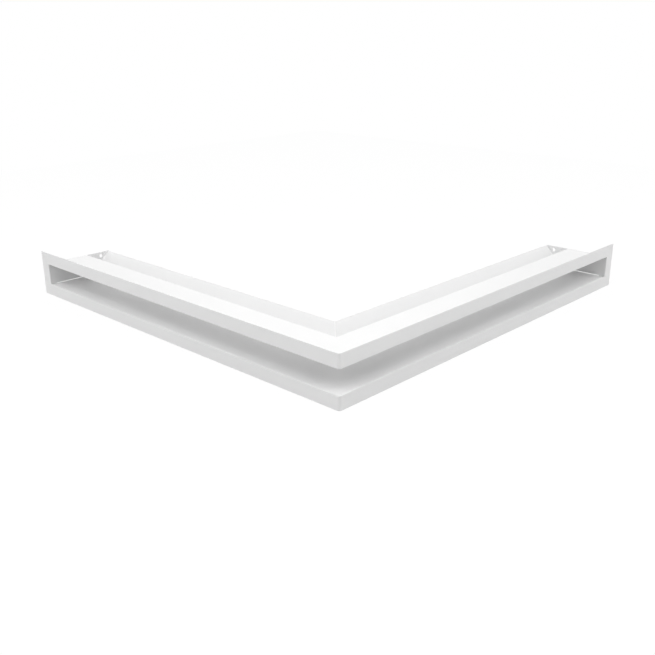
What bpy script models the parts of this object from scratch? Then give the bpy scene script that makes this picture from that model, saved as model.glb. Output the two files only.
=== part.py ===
# A corner vent grille for a fireplace casing: a folded steel frame with one slot running round
# its outside corner, and behind the slot a sheet-metal duct that turns the warm air forwards.
#
# Lengths are in metres. The outside corner of the frame points to -X and -Y, one arm runs
# along +X and the other along +Y, and the frame stands on its lower edge at z = 0.
# Along an arm, run is counted from the outside corner and depth from the front face.

import math

import bmesh
import bpy
from mathutils import Vector

# Frame
arm_length = 0.560        # outside corner to the end of an arm, the same on both arms
frame_height = 0.060
border = 0.016            # metal left round the slot, on all four sides
sheet = 0.0012            # steel sheet of every piece
corner_radius = 0.0024    # inside radius of the frame's upright fold

# Duct
top_depth = 0.0595        # front face to the rear edge of the top plate
body_depth = 0.0935       # front face to the upper edge of the back walls
wall_angle = math.radians(45)
floor_drop = 0.0009       # the floor lies this far under the slot's lower edge
foot_width = 0.012        # flat foot of a back wall, under the floor plate
mitre_gap = 0.0005        # open joint where the two back walls meet

# Folds and joints
fold_radius = 0.0012      # inside radius of every fold in the duct
flange_margin = 0.003     # free edge of a weld flange to the edge of the frame
relief_width = 0.0004     # cut beside a flange at the outside corner, up to the fold
tip_neck = 0.0025         # fold line of the other arm to that cut
seat_gap = 0.0003         # clearance between two pieces that are welded together
fold_steps = 6            # flat facets in a quarter turn
wall_steps = 4            # flat facets in the fold of a back wall

# End plates
slit_margin = 0.0088      # from the front face, and from the floor's rear edge, to the slit
hole_diameter = 0.0048
hole_setback = 0.0118     # hole to the upper edge of the back wall, along the depth
hole_drop = 0.0052        # hole to the upper edge of the end plate
hole_sides = 32

# Levels and lines that follow from the sizes above
slot_bottom = border
slot_top = frame_height - border
plate_front = sheet + seat_gap                    # front of whatever seats on the frame
outer_fold = fold_radius + sheet                  # outside radius of a fold in the duct
fold_line = plate_front + outer_fold              # where a plate leaves its front fold
tip_side = fold_line + tip_neck
flange_start = tip_side + relief_width
arm_end = arm_length - border                     # run of the slot's far end
plate_end = arm_end - seat_gap                    # end of what seats between the end plates
floor_end = arm_end + sheet                       # the floor runs on under the end plates
top_level = slot_top + sheet                      # upper side of the top plate
floor_level = slot_bottom - floor_drop            # upper side of the floor plate
foot_level = floor_level - sheet - seat_gap       # upper side of the back wall's foot
wall_rise = top_level - foot_level
wall_root = body_depth - wall_rise / math.tan(wall_angle)
fold_reach = fold_radius * math.tan(wall_angle / 2)
floor_depth = wall_root - fold_reach              # the floor stops where the wall's fold starts
wall_offset = sheet / math.sin(wall_angle)        # level distance through the slanted wall

corner = -arm_length / 2


def right_arm(run, depth, height):
    """A point of the arm that runs along +X."""
    return Vector((corner + run, corner + depth, height))


def left_arm(run, depth, height):
    """The same point on the arm that runs along +Y."""
    return Vector((corner + depth, corner + run, height))


def powder_coat(name, colour, roughness):
    """White powder coat over steel, one material for each piece."""
    material = bpy.data.materials.new(name)
    material.use_nodes = True
    shader = material.node_tree.nodes["Principled BSDF"]
    shader.inputs["Base Color"].default_value = (*colour, 1)
    shader.inputs["Roughness"].default_value = roughness
    shader.inputs["Metallic"].default_value = 0
    return material


def arc(centre, radius, start, end, steps):
    """Points on an arc in a plane, from one angle to another."""
    turn = (end - start) / steps
    return [
        (
            centre[0] + radius * math.cos(start + turn * step),
            centre[1] + radius * math.sin(start + turn * step),
        )
        for step in range(steps + 1)
    ]


def folded_strip(place, profile, starts, ends):
    """Faces of a folded profile of (depth, height) points, each drawn out along its arm."""
    rows = [
        (place(start, *point), place(end, *point))
        for point, start, end in zip(profile, starts, ends)
    ]
    return [[low[0], low[1], high[1], high[0]] for low, high in zip(rows, rows[1:])]


def mesh_object(name, shape, parent, material):
    """Turns a finished bmesh into an object of the grille."""
    mesh = bpy.data.meshes.new(name)
    shape.to_mesh(mesh)
    shape.free()
    mesh.materials.append(material)
    piece = bpy.data.objects.new(name, mesh)
    piece.parent = parent
    bpy.context.collection.objects.link(piece)
    return piece


def sheet_piece(name, faces, metal_side, parent, material):
    """Joins the faces of one folded sheet and gives it its thickness.

    The faces are one skin of the sheet. The metal lies on the side of the first face that
    metal_side points to.
    """
    shape = bmesh.new()
    for face in faces:
        shape.faces.new([shape.verts.new(point) for point in face])
    bmesh.ops.remove_doubles(shape, verts=shape.verts, dist=1e-6)
    bmesh.ops.recalc_face_normals(shape, faces=shape.faces)
    shape.faces.ensure_lookup_table()
    if shape.faces[0].normal.dot(Vector(metal_side)) < 0:
        bmesh.ops.reverse_faces(shape, faces=shape.faces)
    piece = mesh_object(name, shape, parent, material)
    thickness = piece.modifiers.new("Sheet", "SOLIDIFY")
    thickness.thickness = sheet
    thickness.offset = 1
    thickness.use_even_offset = True
    return piece


def add_front_frame(parent, material):
    """One blank with the slot cut out, folded square round the outside corner."""
    bend = corner_radius + sheet
    path = [(arm_length, 0), (arm_end, 0)]
    path += arc((bend, bend), bend, -math.pi / 2, -math.pi, fold_steps + 2)
    path += [(0, arm_end), (0, arm_length)]
    levels = [0, slot_bottom, slot_top, frame_height]
    faces = []
    for column, (near, far) in enumerate(zip(path, path[1:])):
        at_an_end = column in (0, len(path) - 2)
        for row, (low, high) in enumerate(zip(levels, levels[1:])):
            if row == 1 and not at_an_end:
                continue
            faces.append(
                [
                    right_arm(*near, low),
                    right_arm(*far, low),
                    right_arm(*far, high),
                    right_arm(*near, high),
                ]
            )
    return sheet_piece("front_frame", faces, (0, 1, 0), parent, material)


def corner_outline(rear_depth, far_end):
    """Half of an L-shaped plate, from the rear corner round the far end to the outer tip.

    The front edge stops at the fold line where a flange is folded off it. Beside the outside
    corner a narrow cut frees the flange from a tip that reaches into the frame's own fold.
    """
    tip_radius = corner_radius - seat_gap
    tip_centre = sheet + corner_radius
    half_tip = arc((tip_centre, tip_centre), tip_radius, -math.pi / 2, -3 * math.pi / 4, 3)
    return [
        (rear_depth, rear_depth),
        (far_end, rear_depth),
        (far_end, fold_line),
        (flange_start, fold_line),
        (tip_side, fold_line),
        (tip_side, plate_front),
        *half_tip,
    ]


def corner_plate(name, level, rear_depth, far_end, flange, metal_side, parent, material):
    """An L-shaped plate with a weld flange folded off the front of each arm."""
    half = corner_outline(rear_depth, far_end)
    mirrored = [(depth, run) for run, depth in reversed(half[1:-1])]
    outline = [right_arm(run, depth, level) for run, depth in half + mirrored]
    faces = [outline]
    for place in (right_arm, left_arm):
        count = len(flange)
        faces += folded_strip(place, flange, [flange_start] * count, [far_end] * count)
    return sheet_piece(name, faces, metal_side, parent, material)


def add_top_plate(parent, material):
    """The level roof of the duct. Its flanges stand up behind the frame's upper border."""
    quarter = arc(
        (fold_line, slot_top + outer_fold), outer_fold, -math.pi / 2, -math.pi, fold_steps
    )
    flange = quarter + [(plate_front, frame_height - flange_margin)]
    return corner_plate(
        "top_plate", slot_top, top_depth, plate_end, flange, (0, 0, 1), parent, material
    )


def add_floor_plate(parent, material):
    """The level floor of the duct. Its flanges hang behind the frame's lower border."""
    quarter = arc(
        (fold_line, floor_level - outer_fold), outer_fold, math.pi / 2, math.pi, fold_steps
    )
    flange = quarter + [(plate_front, flange_margin)]
    return corner_plate(
        "floor_plate", floor_level, floor_depth, floor_end, flange, (0, 0, -1), parent, material
    )


def wall_skin(radius, offset):
    """One side of the back wall's sheet as (depth, height) points, from foot to upper edge."""
    bend_centre = (floor_depth, foot_level + fold_radius)
    fold = arc(bend_centre, radius, -math.pi / 2, wall_angle - math.pi / 2, wall_steps)
    foot = (floor_depth - foot_width, foot_level - offset)
    edge = (
        body_depth + offset * math.sin(wall_angle),
        top_level - offset * math.cos(wall_angle),
    )
    return [foot, *fold, edge]


def add_back_wall(side, place, parent, material):
    """A slanted wall that turns the air forwards, on a foot welded under the floor plate.

    At the inner corner the sheet is cut to a mitre in the upright plane between the two arms.
    """
    outline = wall_skin(fold_radius, 0)
    outline += reversed(wall_skin(fold_radius + sheet, sheet))
    start = mitre_gap / math.sqrt(2)
    shape = bmesh.new()
    near = [shape.verts.new(place(depth + start, depth, height)) for depth, height in outline]
    far = [shape.verts.new(place(plate_end, depth, height)) for depth, height in outline]
    shape.faces.new(near)
    shape.faces.new(far)
    for this in range(len(outline)):
        shape.faces.new([near[this - 1], near[this], far[this], far[this - 1]])
    bmesh.ops.recalc_face_normals(shape, faces=shape.faces)
    return mesh_object(side + "_back_wall", shape, parent, material)


def add_end_plate(side, place, parent, material):
    """Closes one end of the duct. It stands on the floor, with a slit left open under it."""
    foot = floor_level + seat_gap
    rear_foot = wall_root + wall_offset + (foot - foot_level) / math.tan(wall_angle)
    outline = [
        (plate_front, foot),
        (slit_margin, foot),
        (slit_margin, slot_bottom),
        (floor_depth - slit_margin, slot_bottom),
        (floor_depth - slit_margin, foot),
        (rear_foot, foot),
        (body_depth + wall_offset, top_level),
        (plate_front, top_level),
    ]
    faces = [[place(arm_end, depth, height) for depth, height in outline]]
    outwards = place(1, 0, 0) - place(0, 0, 0)
    plate = sheet_piece(side + "_end_plate", faces, outwards, parent, material)
    drill_hole(plate, place, outwards)
    return plate


def drill_hole(plate, place, outwards):
    """Cuts the round screw hole through an end plate."""
    bpy.ops.mesh.primitive_cylinder_add(
        vertices=hole_sides,
        radius=hole_diameter / 2,
        depth=6 * sheet,
        location=place(arm_end + sheet / 2, body_depth - hole_setback, top_level - hole_drop),
        rotation=outwards.to_track_quat("Z", "Y").to_euler(),
    )
    drill = bpy.context.object
    drill.name = plate.name + "_drill"
    drill.hide_render = True
    drill.display_type = "WIRE"
    cut = plate.modifiers.new("Screw hole", "BOOLEAN")
    cut.object = drill
    cut.operation = "DIFFERENCE"
    cut.solver = "EXACT"


def main():
    for thing in list(bpy.data.objects):
        bpy.data.objects.remove(thing)
    grille = bpy.data.objects.new("corner_vent_grille", None)
    bpy.context.collection.objects.link(grille)
    frame_coat = powder_coat("frame_coat", (0.77, 0.77, 0.77), 0.42)
    duct_coat = powder_coat("duct_coat", (0.77, 0.77, 0.77), 0.47)
    add_front_frame(grille, frame_coat)
    add_top_plate(grille, duct_coat)
    add_floor_plate(grille, duct_coat)
    for side, place in (("left", left_arm), ("right", right_arm)):
        add_back_wall(side, place, grille, duct_coat)
        add_end_plate(side, place, grille, duct_coat)


main()
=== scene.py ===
# Corner vent grille for a fireplace casing: fine sheet metal, welds and powder coat over the plain solids.
# Lengths are in metres. The outside corner points to -X and -Y, the arms run along +X and +Y.
import math

import bmesh
import bpy
from mathutils import Matrix, Vector


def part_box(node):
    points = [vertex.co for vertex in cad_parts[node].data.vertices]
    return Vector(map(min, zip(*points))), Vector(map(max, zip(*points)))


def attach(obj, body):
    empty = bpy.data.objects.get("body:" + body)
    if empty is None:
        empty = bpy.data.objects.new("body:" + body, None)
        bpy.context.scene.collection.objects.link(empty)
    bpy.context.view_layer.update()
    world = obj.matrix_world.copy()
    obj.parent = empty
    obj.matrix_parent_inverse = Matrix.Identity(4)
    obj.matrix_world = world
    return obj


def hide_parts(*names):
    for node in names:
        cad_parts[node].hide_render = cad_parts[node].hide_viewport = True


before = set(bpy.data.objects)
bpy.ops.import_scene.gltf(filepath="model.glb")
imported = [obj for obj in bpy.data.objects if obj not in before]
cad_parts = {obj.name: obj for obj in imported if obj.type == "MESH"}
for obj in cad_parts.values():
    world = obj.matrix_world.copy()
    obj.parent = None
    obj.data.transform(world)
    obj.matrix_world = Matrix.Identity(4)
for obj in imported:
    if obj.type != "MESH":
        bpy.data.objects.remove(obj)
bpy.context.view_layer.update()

print("frame loaded:", len(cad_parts), "nodes")

scene = bpy.context.scene
scene.view_settings.view_transform = "Standard"

# Places that every piece shares. Run is counted from the outside corner along an arm, depth from its face.
frameLow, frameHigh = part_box("front_frame")
corner = frameLow.x
armLength = frameHigh.x - frameLow.x
frameHeight = frameHigh.z - frameLow.z
steel = {
    "sheet": 0.0012,
    "seatGap": 0.0003,        # clearance between welded pieces, as in the frame
    "insideFold": 0.0012,     # inside radius of a fold in the duct
    "foldSteps": 14,          # facets in a quarter turn
    "edgeRadius": 0.00022,    # what powder coat leaves of a cut edge
    "edgeSteps": 3,
    "edgeAngle": math.radians(40),
    "mergeDistance": 1e-6,
}
sheet = steel["sheet"]
plateFront = sheet + steel["seatGap"]
outerFold = steel["insideFold"] + sheet
foldLine = plateFront + outerFold


def rightArm(run, depth, height):
    return Vector((corner + run, corner + depth, height))


def leftArm(run, depth, height):
    return Vector((corner + depth, corner + run, height))


arms = {"right": rightArm, "left": leftArm}


# Camera, where the photograph was taken from

photoView = {
    "place": (-0.81233, -0.77707, 0.35302),
    "yaw": 43.89,             # degrees from +X, turning to +Y
    "pitch": 20.09,           # degrees down
    "roll": 0.47,
    "lens": 45.93,            # millimetres
    "sensor": 36,             # width in millimetres
}


def heading(turn, rise):
    return Vector((math.cos(turn) * math.cos(rise), math.sin(turn) * math.cos(rise), math.sin(rise)))


def addCamera(view):
    yaw, pitch, roll = (math.radians(view[key]) for key in ("yaw", "pitch", "roll"))
    ahead = heading(yaw, -pitch)
    level = Vector((math.sin(yaw), -math.cos(yaw), 0))
    down = ahead.cross(level)
    right = level * math.cos(roll) + down * math.sin(roll)
    below = down * math.cos(roll) - level * math.sin(roll)
    lens = bpy.data.cameras.new("photoCamera")
    lens.lens = view["lens"]
    lens.sensor_width = view["sensor"]
    lens.sensor_fit = "HORIZONTAL"
    lens.clip_start = 0.01
    camera = bpy.data.objects.new("photoCamera", lens)
    turn = Matrix((right, -below, -ahead)).transposed().to_4x4()
    camera.matrix_world = Matrix.Translation(view["place"]) @ turn
    scene.collection.objects.link(camera)
    scene.camera = camera


addCamera(photoView)
print("camera placed")


# Powder coat: its looks first, then the two effects that every coat shares

frameCoatLook = {
    "Full": (0.775, 0.775, 0.775, 1), "Thin": (0.765, 0.765, 0.765, 1), "Patch": 11.0,
    "Wave": 430.0, "Grain": 3600.0, "Grain share": 0.22, "Roughness": 0.43, "Spread": 0.07,
    "bump": 0.8, "bumpHeight": 0.00014,
}
ductCoatLook = dict(frameCoatLook, Roughness=0.47, Patch=17.0, bump=0.9)
weldCoatLook = dict(ductCoatLook, Wave=900.0, Roughness=0.5, bump=1.0)
peelInputs = ("Wave", "Grain", "Grain share", "Roughness", "Spread")
tintInputs = ("Full", "Thin", "Patch")
coatNoise = {
    "waveDetail": 1.5,
    "grainDetail": 2.0, "grainRoughness": 0.6,
    "glossScale": 38.0, "glossDetail": 3.0,
    "tintDetail": 4.0, "tintRoughness": 0.55, "tintFrom": 0.35, "tintTo": 0.65,
}


def groupSockets(tree, inputs, outputs):
    tree.interface.new_socket(name="Place", in_out="INPUT", socket_type="NodeSocketVector")
    for name in inputs:
        value = frameCoatLook[name]
        kind = "NodeSocketColor" if isinstance(value, tuple) else "NodeSocketFloat"
        tree.interface.new_socket(name=name, in_out="INPUT", socket_type=kind).default_value = value
    for name, kind in outputs.items():
        tree.interface.new_socket(name=name, in_out="OUTPUT", socket_type="NodeSocket" + kind)
    return tree.nodes.new("NodeGroupInput").outputs, tree.nodes.new("NodeGroupOutput").inputs


def mathNode(tree, operation, first, second):
    node = tree.nodes.new("ShaderNodeMath")
    node.operation = operation
    for socket, value in zip(node.inputs, (first, second)):
        if isinstance(value, (int, float)):
            socket.default_value = value
        else:
            tree.links.new(value, socket)
    return node.outputs[0]


def noiseNode(tree, place, scale, detail, roughness=0.5):
    node = tree.nodes.new("ShaderNodeTexNoise")
    node.inputs["Detail"].default_value = detail
    node.inputs["Roughness"].default_value = roughness
    tree.links.new(place, node.inputs["Vector"])
    if isinstance(scale, (int, float)):
        node.inputs["Scale"].default_value = scale
    else:
        tree.links.new(scale, node.inputs["Scale"])
    return node.outputs["Fac"]


def orangePeelGroup():
    tree = bpy.data.node_groups.new("orangePeel", "ShaderNodeTree")
    given, put = groupSockets(tree, peelInputs, {"Height": "Float", "Roughness": "Float"})
    wave = noiseNode(tree, given["Place"], given["Wave"], coatNoise["waveDetail"])
    grain = noiseNode(tree, given["Place"], given["Grain"],
                      coatNoise["grainDetail"], coatNoise["grainRoughness"])
    height = mathNode(tree, "ADD", wave, mathNode(tree, "MULTIPLY", grain, given["Grain share"]))
    patch = noiseNode(tree, given["Place"], coatNoise["glossScale"], coatNoise["glossDetail"])
    swing = mathNode(tree, "MULTIPLY", mathNode(tree, "SUBTRACT", patch, 0.5), given["Spread"])
    tree.links.new(height, put["Height"])
    tree.links.new(mathNode(tree, "ADD", given["Roughness"], swing), put["Roughness"])
    return tree


def coatTintGroup():
    tree = bpy.data.node_groups.new("coatTint", "ShaderNodeTree")
    given, put = groupSockets(tree, tintInputs, {"Color": "Color"})
    patch = noiseNode(tree, given["Place"], given["Patch"],
                      coatNoise["tintDetail"], coatNoise["tintRoughness"])
    ramp = tree.nodes.new("ShaderNodeMapRange")
    ramp.inputs["From Min"].default_value = coatNoise["tintFrom"]
    ramp.inputs["From Max"].default_value = coatNoise["tintTo"]
    tree.links.new(patch, ramp.inputs["Value"])
    mix = tree.nodes.new("ShaderNodeMix")
    mix.data_type = "RGBA"
    tree.links.new(ramp.outputs["Result"], mix.inputs["Factor"])
    tree.links.new(given["Thin"], mix.inputs[6])    # 6 and 7 are the two colours, 2 their mix
    tree.links.new(given["Full"], mix.inputs[7])
    tree.links.new(mix.outputs[2], put["Color"])
    return tree


orangePeel = orangePeelGroup()
coatTint = coatTintGroup()


def powderCoat(name, look):
    material = bpy.data.materials.new(name)
    material.use_nodes = True
    tree = material.node_tree
    shader = tree.nodes["Principled BSDF"]
    place = tree.nodes.new("ShaderNodeTexCoord").outputs["Object"]
    peel = tree.nodes.new("ShaderNodeGroup")
    peel.node_tree = orangePeel
    tint = tree.nodes.new("ShaderNodeGroup")
    tint.node_tree = coatTint
    for group in (peel, tint):
        tree.links.new(place, group.inputs["Place"])
    for key in peelInputs:
        peel.inputs[key].default_value = look[key]
    for key in tintInputs:
        tint.inputs[key].default_value = look[key]
    bump = tree.nodes.new("ShaderNodeBump")
    bump.inputs["Strength"].default_value = look["bump"]
    bump.inputs["Distance"].default_value = look["bumpHeight"]
    tree.links.new(peel.outputs["Height"], bump.inputs["Height"])
    tree.links.new(bump.outputs["Normal"], shader.inputs["Normal"])
    tree.links.new(peel.outputs["Roughness"], shader.inputs["Roughness"])
    tree.links.new(tint.outputs["Color"], shader.inputs["Base Color"])
    return material


frameCoat = powderCoat("frameCoat", frameCoatLook)
ductCoat = powderCoat("ductCoat", ductCoatLook)
weldCoat = powderCoat("weldCoat", weldCoatLook)
print("coats made")


# Sheet metal: one skin of each sheet, its thickness, and cut edges softened by the coat

def arc(centre, radius, start, end, steps):
    turns = [start + (end - start) / steps * step for step in range(steps + 1)]
    return [(centre[0] + radius * math.cos(turn), centre[1] + radius * math.sin(turn)) for turn in turns]


def foldedStrip(place, profile, start, end):
    rows = [(place(start, *point), place(end, *point)) for point in profile]
    return [[low[0], low[1], high[1], high[0]] for low, high in zip(rows, rows[1:])]


def linked(name, mesh):
    piece = bpy.data.objects.new(name, mesh)
    scene.collection.objects.link(piece)
    return piece


def shapePiece(name, shape):
    mesh = bpy.data.meshes.new(name)
    shape.to_mesh(mesh)
    shape.free()
    return linked(name, mesh)


def thickSheet(name, faces, metalSide):
    shape = bmesh.new()
    for face in faces:
        shape.faces.new([shape.verts.new(point) for point in face])
    bmesh.ops.remove_doubles(shape, verts=shape.verts, dist=steel["mergeDistance"])
    bmesh.ops.recalc_face_normals(shape, faces=shape.faces)
    shape.faces.ensure_lookup_table()
    if shape.faces[0].normal.dot(Vector(metalSide)) < 0:
        bmesh.ops.reverse_faces(shape, faces=shape.faces)
    piece = shapePiece(name, shape)
    solid = piece.modifiers.new("Sheet", "SOLIDIFY")
    solid.thickness = sheet
    solid.offset = 1
    solid.use_even_offset = True
    return piece


def linesPiece(name, lines):
    points, edges = [], []
    for line in lines:
        edges += [(len(points) + step, len(points) + step + 1) for step in range(len(line) - 1)]
        points += line
    mesh = bpy.data.meshes.new(name)
    mesh.from_pydata(points, edges, [])
    return linked(name, mesh)


def softenEdges(piece):
    soft = piece.modifiers.new("Coated edge", "BEVEL")
    soft.width = steel["edgeRadius"]
    soft.segments = steel["edgeSteps"]
    soft.limit_method = "ANGLE"
    soft.angle_limit = steel["edgeAngle"]
    soft.use_clamp_overlap = False
    soft.harden_normals = True


def bake(piece, coat):
    graph = bpy.context.evaluated_depsgraph_get()
    mesh = bpy.data.meshes.new_from_object(piece.evaluated_get(graph), depsgraph=graph)
    piece.modifiers.clear()
    old = piece.data
    piece.data = mesh
    bpy.data.meshes.remove(old)
    mesh.name = piece.name
    mesh.materials.clear()
    mesh.materials.append(coat)
    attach(piece, "root")
    print(piece.name, "made:", len(mesh.polygons), "faces")


def finishSheet(piece, coat, node):
    softenEdges(piece)
    for face in piece.data.polygons:
        face.use_smooth = True
    bake(piece, coat)
    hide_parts(node)


# Geometry Nodes, built from short helpers

class NodeTree:
    kinds = {float: "Float", int: "Int", tuple: "Vector"}

    def __init__(self, name, sizes):
        self.tree = bpy.data.node_groups.new(name, "GeometryNodeTree")
        sockets = self.tree.interface
        sockets.new_socket(name="Geometry", in_out="INPUT", socket_type="NodeSocketGeometry")
        self.sizes = {}
        for title, value in sizes.items():
            kind = "NodeSocket" + self.kinds.get(type(value), "Material")
            socket = sockets.new_socket(name=title, in_out="INPUT", socket_type=kind)
            socket.default_value = value
            self.sizes[title] = socket.identifier, value
        sockets.new_socket(name="Geometry", in_out="OUTPUT", socket_type="NodeSocketGeometry")
        self.given = self.tree.nodes.new("NodeGroupInput").outputs
        self.put = self.tree.nodes.new("NodeGroupOutput").inputs

    def add(self, kind, inputs=(), **settings):
        node = self.tree.nodes.new(kind)
        for key, value in settings.items():
            setattr(node, key, value)
        for key, value in dict(inputs).items():
            if isinstance(value, bpy.types.NodeSocket):
                self.tree.links.new(value, node.inputs[key])
            else:
                node.inputs[key].default_value = value
        return node

    def made(self, kind, inputs=(), **settings):
        return self.add(kind, inputs, **settings).outputs[0]

    def math(self, operation, first, second=0.0):
        return self.made("ShaderNodeMath", {0: first, 1: second}, operation=operation)

    def merged(self, shape):
        inputs = {"Geometry": shape, "Distance": steel["mergeDistance"]}
        return self.made("GeometryNodeMergeByDistance", inputs)

    def position(self):
        return self.add("ShaderNodeSeparateXYZ", {0: self.made("GeometryNodeInputPosition")}).outputs

    def close(self, shape):
        whole = self.made("GeometryNodeRealizeInstances", {"Geometry": shape})
        coated = self.made("GeometryNodeSetMaterial", {"Geometry": whole, "Material": self.given["Coat"]})
        self.tree.links.new(coated, self.put[0])

    def apply(self, piece, **changes):
        modifier = piece.modifiers.new("Shape", "NODES")
        modifier.node_group = self.tree
        for title, (identifier, value) in self.sizes.items():
            modifier[identifier] = changes.get(title, value)


# Front frame: one blank with the slot cut out, swept along the two arms and round the outside corner

frontFrame = {
    "border": 0.016,
    "outsideRadius": 0.0036,
    "cornerSteps": 20,
}
slotBottom = frontFrame["border"]
slotTop = frameHeight - frontFrame["border"]
slotRun = armLength - frontFrame["border"]


def frameTree():
    nodes = NodeTree("slottedFrame", {
        "Height": frameHeight, "Border": frontFrame["border"], "Sheet": sheet,
        "Corner radius": frontFrame["outsideRadius"], "Corner steps": frontFrame["cornerSteps"],
        "Slot end": corner + slotRun, "Coat": frameCoat,
    })
    given = nodes.given
    path = nodes.made("GeometryNodeMeshToCurve", {"Mesh": given["Geometry"]})
    index = nodes.made("GeometryNodeInputIndex")
    atCorner = nodes.made("FunctionNodeCompare", {2: index, 3: 2}, data_type="INT", operation="EQUAL")
    radius = nodes.math("MULTIPLY", given["Corner radius"], atCorner)
    rounded = nodes.made("GeometryNodeFilletCurve", {
        "Curve": path, "Radius": radius, "Count": given["Corner steps"],
    }, mode="POLY")
    upright = nodes.made("GeometryNodeSetCurveNormal", {"Curve": rounded}, mode="Z_UP")

    # The section is an upright line of four points: lower edge, slot's lower and upper edge, upper edge
    slotUpper = nodes.math("SUBTRACT", given["Height"], given["Border"])
    level = nodes.add("GeometryNodeIndexSwitch", {0: index, 1: 0.0, 2: given["Border"]}, data_type="FLOAT")
    for number, height in ((3, slotUpper), (4, given["Height"])):
        level.index_switch_items.new()
        nodes.tree.links.new(height, level.inputs[number])
    place = nodes.made("ShaderNodeCombineXYZ", {"Y": nodes.math("MULTIPLY", level.outputs[0], -1.0)})
    points = nodes.made("GeometryNodeMeshLine", {"Count": 4})
    points = nodes.made("GeometryNodeSetPosition", {"Geometry": points, "Position": place})
    section = nodes.made("GeometryNodeMeshToCurve", {"Mesh": points})
    skin = nodes.merged(nodes.made("GeometryNodeCurveToMesh", {"Curve": upright, "Profile Curve": section}))

    # The slot: faces between its edges whose middle lies before its far ends
    at = nodes.position()
    inSlot = nodes.math("GREATER_THAN", at[2], given["Border"])
    inSlot = nodes.math("MULTIPLY", inSlot, nodes.math("LESS_THAN", at[2], slotUpper))
    for side in (0, 1):
        inSlot = nodes.math("MULTIPLY", inSlot, nodes.math("LESS_THAN", at[side], given["Slot end"]))
    front = nodes.made("GeometryNodeDeleteGeometry", {"Geometry": skin, "Selection": inSlot}, domain="FACE")
    inwards = nodes.made("GeometryNodeFlipFaces", {"Mesh": front})
    rear = nodes.made("GeometryNodeExtrudeMesh", {
        "Mesh": inwards, "Offset Scale": given["Sheet"], "Individual": False,
    }, mode="FACES")
    both = nodes.add("GeometryNodeJoinGeometry")
    for part in (rear, front):
        nodes.tree.links.new(part, both.inputs[0])
    nodes.close(nodes.merged(both.outputs[0]))
    return nodes


def makeFrontFrame():
    path = [rightArm(armLength, 0, 0), rightArm(slotRun, 0, 0), rightArm(0, 0, 0)]
    path += [leftArm(slotRun, 0, 0), leftArm(armLength, 0, 0)]
    piece = linesPiece("frontFrameSheet", [path])
    frameTree().apply(piece)
    finishSheet(piece, frameCoat, "front_frame")


makeFrontFrame()


# Top and floor plates: one L each, with weld flanges folded off the front of both arms

plates = {
    "topDepth": 0.0595,
    "floorDrop": 0.0009,
    "flangeMargin": 0.003,    # free edge of a flange to the edge of the frame
    "reliefWidth": 0.0004,    # narrow cut beside a flange
    "tipNeck": 0.0025,
    "tipSteps": 8,
}
plateEnd = slotRun - steel["seatGap"]
floorEnd = slotRun + sheet
topLevel = slotTop + sheet
floorLevel = slotBottom - plates["floorDrop"]
tipSide = foldLine + plates["tipNeck"]
flangeStart = tipSide + plates["reliefWidth"]


def plateOutline(rearDepth, farEnd):
    bend = frontFrame["outsideRadius"]
    inside = bend - sheet - steel["seatGap"]
    tip = arc((bend, bend), inside, -math.pi / 2, -3 * math.pi / 4, plates["tipSteps"])
    half = [(rearDepth, rearDepth), (farEnd, rearDepth), (farEnd, foldLine), (flangeStart, foldLine)]
    half += [(tipSide, foldLine), (tipSide, plateFront), *tip]
    return half + [(depth, run) for run, depth in reversed(half[1:-1])]


def makePlate(name, node, level, rearDepth, farEnd, flange, metalSide):
    faces = [[rightArm(run, depth, level) for run, depth in plateOutline(rearDepth, farEnd)]]
    for place in arms.values():
        faces += foldedStrip(place, flange, flangeStart, farEnd)
    finishSheet(thickSheet(name, faces, metalSide), ductCoat, node)


def makePlates():
    steps = steel["foldSteps"]
    rise = arc((foldLine, slotTop + outerFold), outerFold, -math.pi / 2, -math.pi, steps)
    rise.append((plateFront, frameHeight - plates["flangeMargin"]))
    makePlate("topPlateSheet", "top_plate", slotTop, plates["topDepth"], plateEnd, rise, (0, 0, 1))
    drop = arc((foldLine, floorLevel - outerFold), outerFold, math.pi / 2, math.pi, steps)
    drop.append((plateFront, plates["flangeMargin"]))
    makePlate("floorPlateSheet", "floor_plate", floorLevel, floorDepth, floorEnd, drop, (0, 0, -1))


# Back walls: slanted at 45 degrees, on a foot under the floor, mitred at the inner corner

backWall = {
    "bodyDepth": 0.0935,
    "angle": math.radians(45),
    "foot": 0.012,
    "mitreGap": 0.0005,
    "foldSteps": 8,
}
footLevel = floorLevel - sheet - steel["seatGap"]
wallRoot = backWall["bodyDepth"] - (topLevel - footLevel) / math.tan(backWall["angle"])
floorDepth = wallRoot - steel["insideFold"] * math.tan(backWall["angle"] / 2)
wallOffset = sheet / math.sin(backWall["angle"])


def wallSkin(radius, offset):
    angle, centre = backWall["angle"], (floorDepth, footLevel + steel["insideFold"])
    bend = arc(centre, radius, -math.pi / 2, angle - math.pi / 2, backWall["foldSteps"])
    foot = floorDepth - backWall["foot"], footLevel - offset
    top = backWall["bodyDepth"] + offset * math.sin(angle), topLevel - offset * math.cos(angle)
    return [foot, *bend, top]


def makeBackWall(side, place):
    outline = wallSkin(steel["insideFold"], 0) + wallSkin(steel["insideFold"] + sheet, sheet)[::-1]
    shape = bmesh.new()
    start = backWall["mitreGap"] / math.sqrt(2)    # the mitre lies in the upright plane between the arms
    near = [shape.verts.new(place(depth + start, depth, height)) for depth, height in outline]
    far = [shape.verts.new(place(plateEnd, depth, height)) for depth, height in outline]
    shape.faces.new(near)
    shape.faces.new(far)
    for this in range(len(outline)):
        shape.faces.new([near[this - 1], near[this], far[this], far[this - 1]])
    bmesh.ops.recalc_face_normals(shape, faces=shape.faces)
    finishSheet(shapePiece(side + "BackWallSheet", shape), ductCoat, side + "_back_wall")


# End plates: they stand on the floor over a slit, with a screw hole near their upper edge

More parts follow.
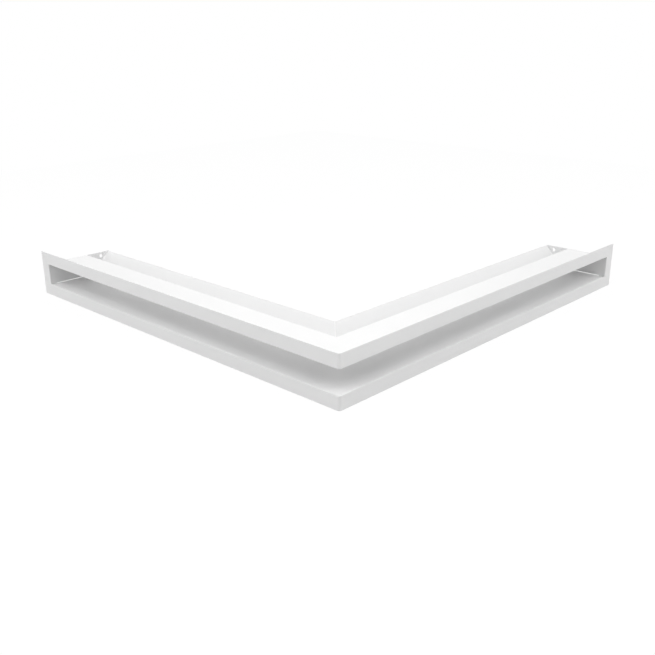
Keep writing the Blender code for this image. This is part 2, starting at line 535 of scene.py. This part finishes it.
endPlate = {
    "slitMargin": 0.0088,     # from the front face, and from the floor's rear edge
    "holeDiameter": 0.0048,
    "holeSetback": 0.0118,
    "holeDrop": 0.0052,
    "holeSides": 64,
    "drillLength": 0.008,
}


def makeEndPlate(side, place):
    foot = floorLevel + steel["seatGap"]
    rearFoot = wallRoot + wallOffset + (foot - footLevel) / math.tan(backWall["angle"])
    slitStart, slitEnd = endPlate["slitMargin"], floorDepth - endPlate["slitMargin"]
    outline = [(plateFront, foot), (slitStart, foot), (slitStart, slotBottom)]
    outline += [(slitEnd, slotBottom), (slitEnd, foot), (rearFoot, foot)]
    outline += [(backWall["bodyDepth"] + wallOffset, topLevel), (plateFront, topLevel)]
    outwards = place(1, 0, 0) - place(0, 0, 0)
    face = [place(slotRun, depth, height) for depth, height in outline]
    piece = thickSheet(side + "EndPlateSheet", [face], outwards)
    holeDepth, holeLevel = backWall["bodyDepth"] - endPlate["holeSetback"], topLevel - endPlate["holeDrop"]
    bpy.ops.mesh.primitive_cylinder_add(
        vertices=endPlate["holeSides"], radius=endPlate["holeDiameter"] / 2, depth=endPlate["drillLength"],
        location=place(slotRun, holeDepth, holeLevel), rotation=outwards.to_track_quat("Z", "Y").to_euler(),
    )
    drill = bpy.context.object
    hole = piece.modifiers.new("Screw hole", "BOOLEAN")
    hole.object = drill
    hole.operation = "DIFFERENCE"
    hole.solver = "EXACT"
    finishSheet(piece, ductCoat, side + "_end_plate")
    bpy.data.objects.remove(drill)


makePlates()
for side, place in arms.items():
    makeBackWall(side, place)
    makeEndPlate(side, place)


# Spot welds: a dished ring wherever two sheets are joined, in rows behind the frame and under the feet

spotWeld = {
    "pitch": 0.040,
    "radius": 0.0026,
    "ringRadius": 0.0018,
    "ringHeight": 0.00013,
    "ringWidth": 0.0005,
    "seat": 0.00003,          # how deep the mark's outer edge lies in the sheet
    "pointDepth": 8.0,        # how many times deeper its hidden point lies
    "sides": 20,
    "rings": 7,
    "smallest": 0.93, "largest": 1.06,
    "endMargin": 0.014,       # first and last weld to the ends of a flange
}


def spotWeldTree():
    nodes = NodeTree("spotWelds", {
        "Pitch": spotWeld["pitch"], "Radius": spotWeld["radius"], "Ring radius": spotWeld["ringRadius"],
        "Ring height": spotWeld["ringHeight"], "Ring width": spotWeld["ringWidth"], "Seat": spotWeld["seat"],
        "Point depth": spotWeld["pointDepth"], "Sides": spotWeld["sides"], "Rings": spotWeld["rings"],
        "Smallest": spotWeld["smallest"], "Largest": spotWeld["largest"],
        "Inwards": (0.0, 0.0, 1.0), "Seed": 0, "Coat": weldCoat,
    })
    given = nodes.given
    depth = nodes.math("MULTIPLY", given["Seat"], given["Point depth"])
    disc = nodes.made("GeometryNodeMeshCone", {
        "Vertices": given["Sides"], "Side Segments": 1, "Fill Segments": given["Rings"],
        "Radius Top": 0.0, "Radius Bottom": given["Radius"], "Depth": depth,
    }, fill_type="TRIANGLE_FAN")
    at = nodes.position()
    squares = [nodes.math("MULTIPLY", at[side], at[side]) for side in (0, 1)]
    away = nodes.math("SQRT", nodes.math("ADD", *squares))
    off = nodes.math("DIVIDE", nodes.math("SUBTRACT", away, given["Ring radius"]), given["Ring width"])
    swell = nodes.math("EXPONENT", nodes.math("MULTIPLY", nodes.math("MULTIPLY", off, off), -1.0))
    onFace = nodes.math("LESS_THAN", at[2], nodes.math("MULTIPLY", given["Seat"], 0.5))
    lift = nodes.math("MULTIPLY", nodes.math("MULTIPLY", swell, given["Ring height"]), -1.0)
    lifted = nodes.made("GeometryNodeSetPosition", {
        "Geometry": disc, "Selection": onFace, "Offset": nodes.made("ShaderNodeCombineXYZ", {"Z": lift}),
    })
    smooth = nodes.made("GeometryNodeSetShadeSmooth", {"Geometry": lifted})
    rows = nodes.made("GeometryNodeMeshToCurve", {"Mesh": given["Geometry"]})
    spots = nodes.made("GeometryNodeResampleCurve", {"Curve": rows, "Length": given["Pitch"]}, mode="LENGTH")
    sunk = nodes.made("ShaderNodeVectorMath", {
        0: given["Inwards"], "Scale": given["Seat"],
    }, operation="SCALE")
    seated = nodes.made("GeometryNodeSetPosition", {"Geometry": spots, "Offset": sunk})
    turn = nodes.made("FunctionNodeAlignRotationToVector", {"Vector": given["Inwards"]}, axis="Z")
    size = nodes.add("FunctionNodeRandomValue", {
        2: given["Smallest"], 3: given["Largest"], "Seed": given["Seed"],
    }, data_type="FLOAT").outputs[1]
    nodes.close(nodes.made("GeometryNodeInstanceOnPoints", {
        "Points": seated, "Instance": smooth, "Rotation": turn, "Scale": size,
    }))
    return nodes


def makeSpotWelds():
    tree = spotWeldTree()
    first, last = flangeStart + spotWeld["endMargin"], plateEnd - spotWeld["endMargin"]
    rearOfFlange = plateFront + sheet
    levels = ((slotTop + outerFold + frameHeight - plates["flangeMargin"]) / 2,
              (floorLevel - outerFold + plates["flangeMargin"]) / 2)
    rows = {}
    for side, place in arms.items():
        lines = [[place(run, rearOfFlange, level) for run in (first, last)] for level in levels]
        rows[side + "SpotWelds"] = lines, place(0, 0, 0) - place(0, 1, 0)
    under = footLevel - sheet
    footDepth = floorDepth - backWall["foot"] / 2
    footRuns = footDepth + spotWeld["endMargin"], last
    lines = [[place(run, footDepth, under) for run in footRuns] for place in arms.values()]
    rows["footSpotWelds"] = lines, (0, 0, 1)
    for seed, (name, (lines, inwards)) in enumerate(rows.items()):
        piece = linesPiece(name, lines)
        tree.apply(piece, Inwards=tuple(float(part) for part in inwards), Seed=seed)
        bake(piece, weldCoat)


# Weld tacks: short rippled beads at the end plates and behind the mitre

tack = {
    "radius": 0.0009,
    "step": 0.00014,          # spacing of the rings along a bead
    "ripple": 0.0010,         # length of one ripple
    "rippleDepth": 0.10,      # share of the radius
    "taper": 0.42,            # how blunt a bead's ends are: less is blunter
    "tip": 0.06,              # least share of the radius at the ends
    "sides": 14,
    "length": 0.008,
    "mitre": (0.14, 0.40),    # places of the beads, as shares of the edge that each row lies on
    "upright": (0.22, 0.78),
    "slanted": (0.22, 0.74),
    "level": (0.07, 0.93),
}


def tackTree():
    nodes = NodeTree("weldTacks", {
        "Radius": tack["radius"], "Step": tack["step"], "Ripple": tack["ripple"],
        "Ripple depth": tack["rippleDepth"], "Taper": tack["taper"], "Tip": tack["tip"],
        "Sides": tack["sides"], "Coat": weldCoat,
    })
    given = nodes.given
    paths = nodes.made("GeometryNodeMeshToCurve", {"Mesh": given["Geometry"]})
    paths = nodes.made("GeometryNodeResampleCurve", {"Curve": paths, "Length": given["Step"]}, mode="LENGTH")
    along = nodes.add("GeometryNodeSplineParameter").outputs
    belly = nodes.math("SINE", nodes.math("MULTIPLY", along["Factor"], math.pi))
    belly = nodes.math("MAXIMUM", nodes.math("POWER", belly, given["Taper"]), given["Tip"])
    phase = nodes.math("MULTIPLY", nodes.math("DIVIDE", along["Length"], given["Ripple"]), 2 * math.pi)
    wave = nodes.math("MULTIPLY", nodes.math("SINE", phase), given["Ripple depth"])
    wave = nodes.math("MULTIPLY", nodes.math("ADD", wave, 1.0), given["Radius"])
    ring = nodes.made("GeometryNodeCurvePrimitiveCircle", {"Resolution": given["Sides"], "Radius": 1.0})
    thick = nodes.math("MULTIPLY", belly, wave)
    beads = nodes.made("GeometryNodeCurveToMesh", {
        "Curve": paths, "Profile Curve": ring, "Scale": thick, "Fill Caps": True,
    })
    nodes.close(nodes.made("GeometryNodeSetShadeSmooth", {"Geometry": beads}))
    return nodes


def tacksAlong(edge, start, end):
    reach = (end - start).normalized() * tack["length"] / 2
    middles = [start.lerp(end, share) for share in tack[edge]]
    return [[middle - reach, middle + reach] for middle in middles]


def makeTacks():
    slant = sheet * math.sin(backWall["angle"])
    rearFoot = wallRoot + slant, footLevel - slant
    rearTop = backWall["bodyDepth"] + slant, topLevel - slant
    lines = tacksAlong("mitre", *(rightArm(depth, depth, height) for depth, height in (rearFoot, rearTop)))
    outer = slotRun + sheet
    edges = {                 # the edges of an end plate that carry tacks: run, depth and height of both ends
        "upright": ((outer, sheet, floorLevel), (outer, sheet, topLevel)),
        "slanted": ((slotRun, *rearFoot), (slotRun, *rearTop)),
        "level": ((outer, plateFront, floorLevel), (outer, floorDepth, floorLevel)),
    }
    for place in arms.values():
        for edge, (start, end) in edges.items():
            lines += tacksAlong(edge, place(*start), place(*end))
    piece = linesPiece("weldTacks", lines)
    tackTree().apply(piece)
    bake(piece, weldCoat)


makeSpotWelds()
makeTacks()


# Light and ground

studio = {
    "horizon": 0.18,          # the room's own light at the height of the object
    "zenith": 0.46,           # and straight above it
    "lampSize": 1.6,
    "lampDistance": 2.8,
    "aim": (0, 0, 0.03),
    "lamps": {                # degrees from +X, degrees up, watts, and whether gloss mirrors the lamp
        "leftFaceLamp": (180, 45, 23.9, True), "rightFaceLamp": (-90, 45, 21.0, True),
        "leftFillLamp": (135, 15, 14.6, False), "rightFillLamp": (-45, 15, 15.2, False),
        "cornerLamp": (-135, 62, 18.8, True), "rearLamp": (45, 45, 15.3, True),
    },
    "floorSize": 2.6,
    "floorShade": 0.62,
    "floorWhite": 1.05,       # what the camera sees of it, with a little to spare for the share below
    "shadowShare": 0.12,      # how much of the floor's own shading the camera sees
}


# What the camera, gloss and clear parts see as plain white
def whiteForCamera(tree):
    ray = tree.nodes.new("ShaderNodeLightPath").outputs
    mirrored = mathNode(tree, "MAXIMUM", ray["Is Glossy Ray"], ray["Is Transmission Ray"])
    return mathNode(tree, "MAXIMUM", ray["Is Camera Ray"], mirrored)


def addFloor():
    half = studio["floorSize"] / 2
    corners = [(-half, -half, 0), (half, -half, 0), (half, half, 0), (-half, half, 0)]
    mesh = bpy.data.meshes.new("studioFloor")
    mesh.from_pydata(corners, [], [(0, 1, 2, 3)])
    floor = linked("studioFloor", mesh)
    material = bpy.data.materials.new("studioFloor")
    material.use_nodes = True
    tree = material.node_tree
    tree.nodes.clear()
    matt = tree.nodes.new("ShaderNodeBsdfDiffuse")
    shade = studio["floorShade"]
    matt.inputs["Color"].default_value = (shade, shade, shade, 1)
    white = tree.nodes.new("ShaderNodeEmission")
    white.inputs["Strength"].default_value = studio["floorWhite"]
    mix = tree.nodes.new("ShaderNodeMixShader")
    out = tree.nodes.new("ShaderNodeOutputMaterial")
    share = mathNode(tree, "MULTIPLY", whiteForCamera(tree), 1 - studio["shadowShare"])
    tree.links.new(share, mix.inputs[0])
    tree.links.new(matt.outputs[0], mix.inputs[1])
    tree.links.new(white.outputs[0], mix.inputs[2])
    tree.links.new(mix.outputs[0], out.inputs[0])
    mesh.materials.append(material)


def addWorld():
    world = bpy.data.worlds.new("studioWorld")
    scene.world = world
    world.use_nodes = True
    tree = world.node_tree
    tree.nodes.clear()
    towards = tree.nodes.new("ShaderNodeTexCoord").outputs["Generated"]
    parts = tree.nodes.new("ShaderNodeSeparateXYZ")
    tree.links.new(towards, parts.inputs[0])
    level = tree.nodes.new("ShaderNodeMapRange")
    level.inputs["To Min"].default_value = studio["horizon"]
    level.inputs["To Max"].default_value = studio["zenith"]
    tree.links.new(parts.outputs["Z"], level.inputs["Value"])
    room = tree.nodes.new("ShaderNodeBackground")
    room.inputs["Color"].default_value = (1, 1, 1, 1)
    tree.links.new(level.outputs["Result"], room.inputs["Strength"])
    white = tree.nodes.new("ShaderNodeBackground")
    white.inputs["Color"].default_value = (1, 1, 1, 1)
    mix = tree.nodes.new("ShaderNodeMixShader")
    out = tree.nodes.new("ShaderNodeOutputWorld")
    tree.links.new(whiteForCamera(tree), mix.inputs[0])
    tree.links.new(room.outputs[0], mix.inputs[1])
    tree.links.new(white.outputs[0], mix.inputs[2])
    tree.links.new(mix.outputs[0], out.inputs[0])


def addLamp(name, turn, rise, power, mirrored):
    light = bpy.data.lights.new(name, "AREA")
    light.shape = "SQUARE"
    light.size = studio["lampSize"]
    light.energy = power
    lamp = bpy.data.objects.new(name, light)
    away = heading(math.radians(turn), math.radians(rise))
    lamp.location = Vector(studio["aim"]) + away * studio["lampDistance"]
    lamp.rotation_euler = away.to_track_quat("Z", "Y").to_euler()
    lamp.visible_glossy = mirrored
    scene.collection.objects.link(lamp)


addFloor()
addWorld()
for name, settings in studio["lamps"].items():
    addLamp(name, *settings)
print("studio lit")
